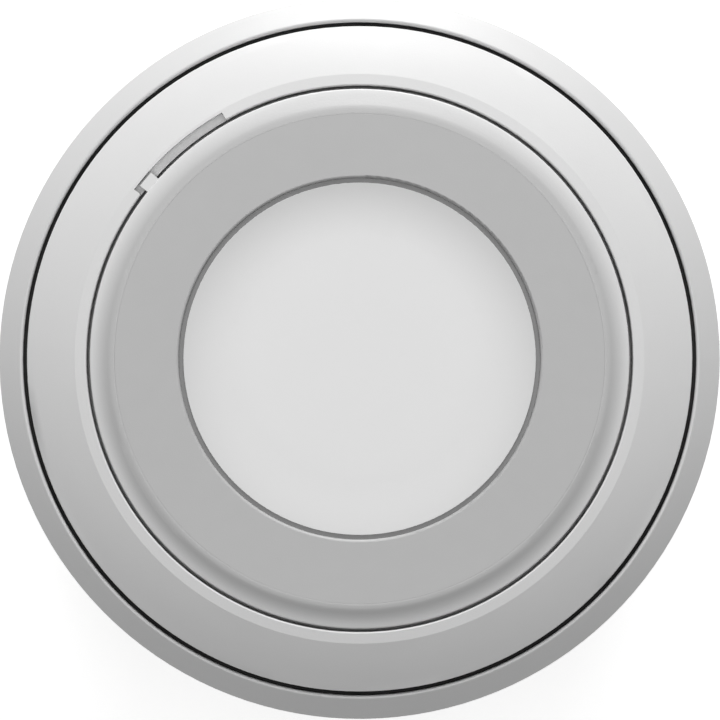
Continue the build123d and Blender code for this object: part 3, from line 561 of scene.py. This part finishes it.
def rubber_grommet():
    """The grommet in the first cable entry: plug, outer flange and three grooves in the bore."""
    low_corner, high_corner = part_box("cable_grommet")
    length = high_corner.x - low_corner.x
    flange = 0.5 * (high_corner.z - low_corner.z)
    shoulder = length - FLANGE_DEPTH
    corners = [(BORE_RADIUS, 0.0), (PLUG_RADIUS, 0.0), (PLUG_RADIUS, shoulder)]
    corners += [(flange, shoulder), (flange, length), (BORE_RADIUS, length)]
    for share in GROOVE_PLACES:
        middle = share * length
        corners.append((BORE_RADIUS, middle + 2 * GROOVE))
        corners.append((BORE_RADIUS + GROOVE, middle))
        corners.append((BORE_RADIUS, middle - 2 * GROOVE))
    place = Matrix.Translation((high_corner.x, 0, 0.5 * (low_corner.z + high_corner.z)))
    place @= Matrix.Rotation(math.radians(-90), 4, "Y")
    vertices, faces = [], []
    add_revolved(vertices, faces, softened(corners, GROMMET_CUT), GROMMET_SEGMENTS, place)
    grommet = piece("rubber_grommet", vertices, faces, "rubber", "base")
    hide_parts("cable_grommet")


PAD_CUT = 0.15 * MM
PAD_EYE = 0.2 * MM  # a pinhole on the axis, under the disc, keeps every face four-sided
PAD_UNEVEN = 0.06 * MM
PAD_SEGMENTS = 72


def heat_pad():
    """The soft pad between the disc and the sensor, with an edge that isn't quite round."""
    low_corner, high_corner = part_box("thermal_pad")
    outer, bottom, top = high_corner.x, low_corner.z, high_corner.z
    outline = [
        (PAD_EYE, bottom),
        (outer - PAD_CUT, bottom),
        (outer, bottom + PAD_CUT),
        (outer, top - PAD_CUT),
        (outer - PAD_CUT, top),
        (PAD_EYE, top),
    ]

    def uneven(index, turn):
        return -PAD_UNEVEN * (1 + math.sin(5 * turn) * math.sin(3 * turn + 1))

    vertices, faces = [], []
    add_revolved(vertices, faces, outline, PAD_SEGMENTS, ripple=uneven)
    pad = piece("heat_pad", vertices, faces, "thermal_pad", "head")
    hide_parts("thermal_pad")


foam_seal()
rubber_gasket()
rubber_grommet()
heat_pad()

# ---------------------------------------------------------------- floor, light and camera


FLOOR_REACH = 4.0
FLOOR_GLOW = 0.75


def stage_floor():
    """A pale floor with a glow of its own, so that it stays white away from the lamps."""
    mesh = bpy.data.meshes.new("floor")
    signs = ((-1, -1), (1, -1), (1, 1), (-1, 1))
    corners = [(x * FLOOR_REACH, y * FLOOR_REACH, low.z) for x, y in signs]
    mesh.from_pydata(corners, [], [(0, 1, 2, 3)])
    floor = bpy.data.objects.new("floor", mesh)
    bpy.context.scene.collection.objects.link(floor)
    made = Nodes("floor", 0.85, specular=0.1)
    made.colour(made.ramp(made.noise(scale=6, detail=3), grey(0.5), grey(0.52)))
    made.shader.inputs["Emission Color"].default_value = (1, 1, 1, 1)
    made.shader.inputs["Emission Strength"].default_value = FLOOR_GLOW
    mesh.materials.append(made.material)


def area_light(name, place, size, power):
    """A round lamp that faces the middle of the detector's front."""
    data = bpy.data.lights.new(name, "AREA")
    data.shape = "DISK"
    data.size = size
    data.energy = power
    lamp = bpy.data.objects.new(name, data)
    bpy.context.scene.collection.objects.link(lamp)
    lamp.location = place
    aim = Vector((0, 0, face_z)) - Vector(place)
    lamp.rotation_euler = aim.to_track_quat("-Z", "Y").to_euler()


# name: (degrees from the face's axis, degrees round it, width, power)
LAMPS = {
    "top_key": (65, 88, 0.8, 18.8),
    "front_fill": (0, 0, 1.0, 6.9),
}
LAMP_DISTANCE = 1.4
SKY_LIGHT = 0.12
SKY_SEEN = 0.9


def light():
    """A grazing lamp above, a weak one in front, and an even sky."""
    for name, (lean_degrees, turn_degrees, size, power) in LAMPS.items():
        lean = math.radians(lean_degrees)
        turn = math.radians(turn_degrees)
        across = math.sin(lean)
        aim = Vector((across * math.cos(turn), across * math.sin(turn), math.cos(lean)))
        area_light(name, Vector((0, 0, face_z)) + LAMP_DISTANCE * aim, size, power)
    world = bpy.data.worlds.new("world")
    world.use_nodes = True
    # the sky is pale to the eye but lights the detector only faintly
    sky = world.node_tree.nodes["Background"].inputs
    sky["Color"].default_value = (1, 1, 1, 1)
    rays = world.node_tree.nodes.new("ShaderNodeLightPath")
    strength = world.node_tree.nodes.new("ShaderNodeMath")
    strength.operation = "MULTIPLY_ADD"
    strength.inputs[1].default_value = SKY_SEEN - SKY_LIGHT
    strength.inputs[2].default_value = SKY_LIGHT
    world.node_tree.links.new(rays.outputs["Is Camera Ray"], strength.inputs[0])
    world.node_tree.links.new(strength.outputs["Value"], sky["Strength"])
    bpy.context.scene.world = world
    bpy.context.scene.view_settings.view_transform = "Standard"


LENS = 300
SENSOR_WIDTH = 36
CAMERA_SEES = 20
CAMERA_SHIFT_X = 0.08 * MM
CAMERA_SHIFT_Y = -0.25 * MM


def camera():
    """Straight over the face, framed on the widest circle."""
    data = bpy.data.cameras.new("camera")
    data.lens = LENS
    data.sensor_width = SENSOR_WIDTH
    data.clip_end = CAMERA_SEES
    eye = bpy.data.objects.new("camera", data)
    bpy.context.scene.collection.objects.link(eye)
    distance = 2 * overall_radius * data.lens / data.sensor_width
    eye.location = (CAMERA_SHIFT_X, CAMERA_SHIFT_Y, ceiling_z + distance)
    bpy.context.scene.camera = eye


stage_floor()
light()
camera()
